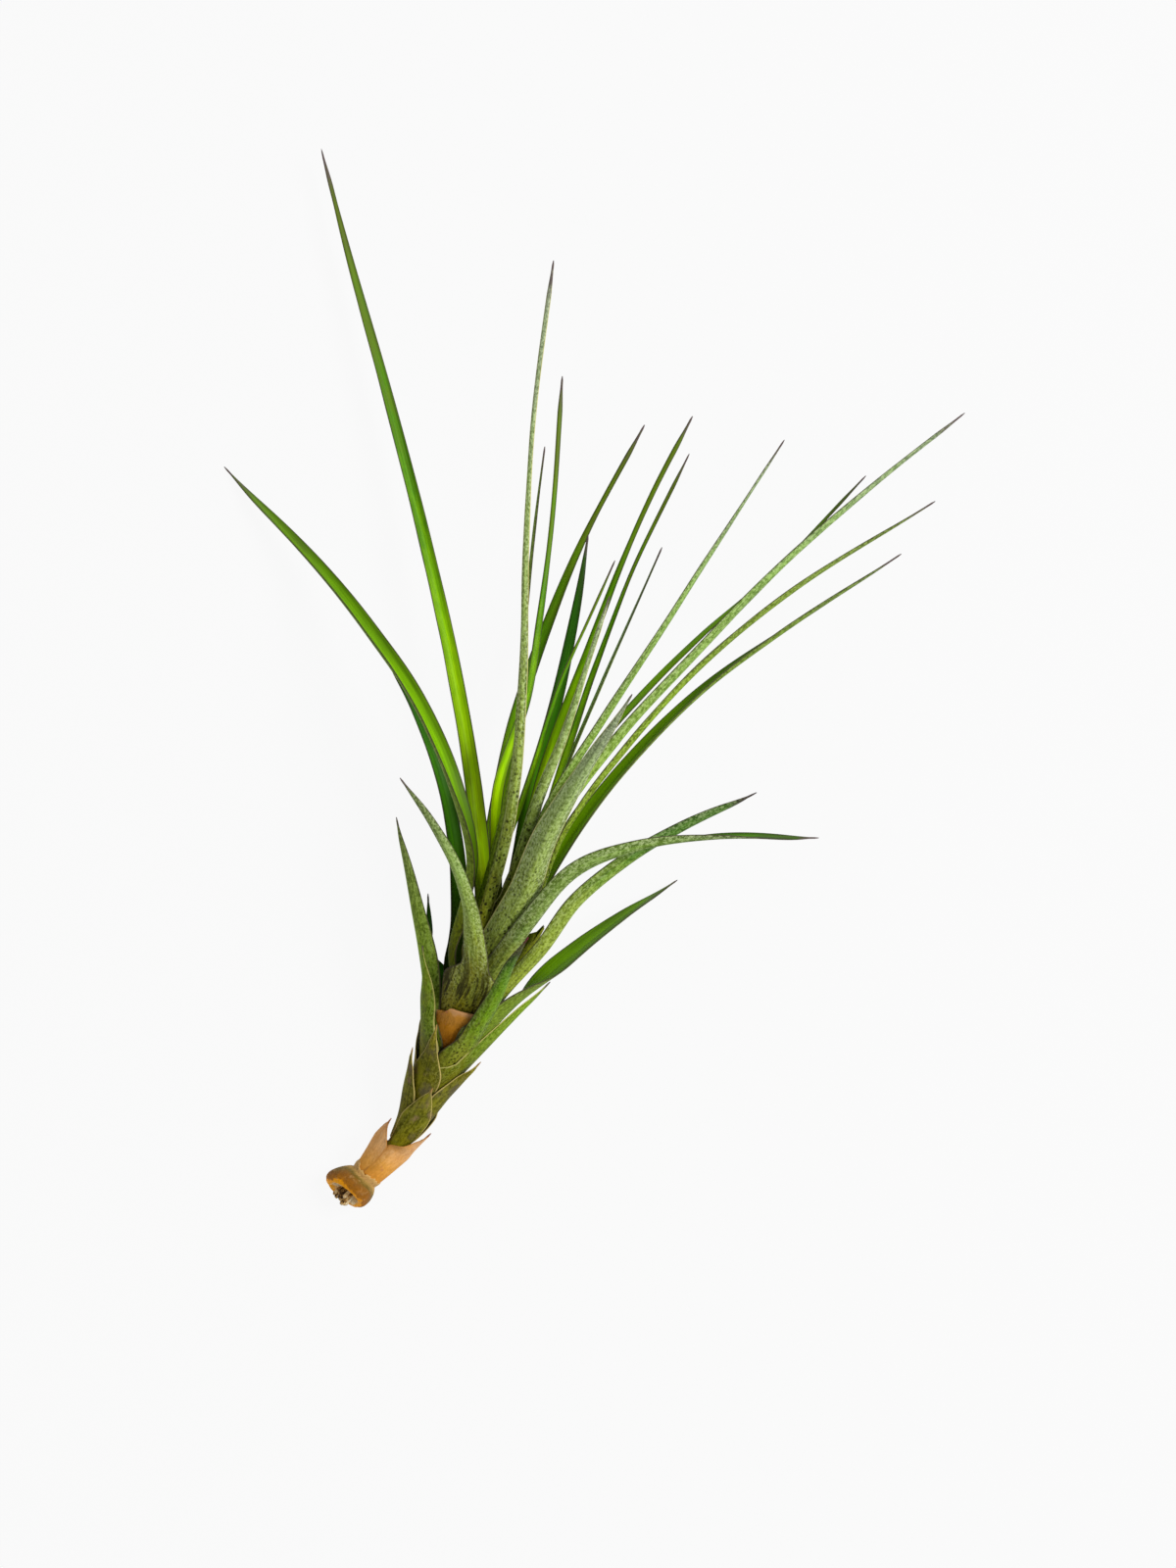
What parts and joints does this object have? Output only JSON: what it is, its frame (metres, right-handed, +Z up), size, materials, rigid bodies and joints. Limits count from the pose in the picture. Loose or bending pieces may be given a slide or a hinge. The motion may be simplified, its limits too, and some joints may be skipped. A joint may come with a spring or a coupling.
{
  "type": "air plant",
  "caption": "Air plant lying on its side: a leafy stem with a dry curled foot and a rosette of long narrow channelled leaves.",
  "frame": {"origin": "on the surface it lies on, under the middle of its outline", "axes": "+Z up; X and Y are the plane it lies in, and +Y runs from the foot towards the tallest leaf tip"},
  "size_m": [0.1511, 0.2189, 0.0775],
  "materials": {
    "leaf_green": "satin living leaf with fine lengthwise grooves",
    "leaf_silver": "matt living leaf under a silvery bloom of scales",
    "leaf_olive": "matt olive scale leaf with pale edges",
    "leaf_dry": "dry papery tan sheath",
    "leaf_dead": "dead orange-brown sheath",
    "collar": "dry curled orange-brown tissue",
    "pith": "pale fibrous pith",
    "stem": "hidden stem"
  },
  "bodies": {
    "root": {"stem_core": "stem", "pith": "pith", "foot_collar": "collar", "dry_sheath_left": "leaf_dry", "dry_sheath_right": "leaf_dry", "dry_sheath_under": "leaf_dry", "leaf_01_scale_front": "leaf_olive", "leaf_02_scale_back_right": "leaf_olive", "leaf_03_scale_left": "leaf_olive", "leaf_04_scale_right": "leaf_olive", "leaf_05_scale_under": "leaf_olive", "leaf_06_scale_tooth": "leaf_olive", "leaf_07_scale_long_right": "leaf_silver", "leaf_08_scale_back_left": "leaf_olive", "leaf_09_short_hook": "leaf_green", "leaf_10_scale_under_upper": "leaf_olive", "leaf_11_short_left_front": "leaf_silver", "leaf_12_side_right_low": "leaf_green", "leaf_13_side_left_low": "leaf_green", "leaf_14_dead_stub": "leaf_dead", "leaf_15_short_left_back": "leaf_green", "leaf_16_side_right_high": "leaf_silver", "leaf_17_long_crossing": "leaf_green", "leaf_18_side_left_curved": "leaf_silver", "leaf_19_side_right_mid": "leaf_silver", "leaf_20_long_left_back": "leaf_green", "leaf_21_big_front": "leaf_silver", "leaf_22_long_right_low": "leaf_green", "leaf_23_long_left_arching": "leaf_green", "leaf_24_cut_stub": "leaf_green", "leaf_25_tallest": "leaf_green", "leaf_26_long_centre": "leaf_silver", "leaf_27_long_right_third": "leaf_silver", "leaf_28_centre_left": "leaf_green", "leaf_29_long_right_top": "leaf_silver", "leaf_30_dark_back": "leaf_green", "leaf_31_thin_centre": "leaf_silver", "leaf_32_right_crossing": "leaf_green", "leaf_33_centre_dark_tall": "leaf_green", "leaf_34_centre_ridged": "leaf_silver", "leaf_35_centre_right_tall": "leaf_green", "leaf_36_centre_gold": "leaf_green", "leaf_37_right_upper": "leaf_silver", "leaf_38_thin_right": "leaf_silver"}
  },
  "joints": []
}
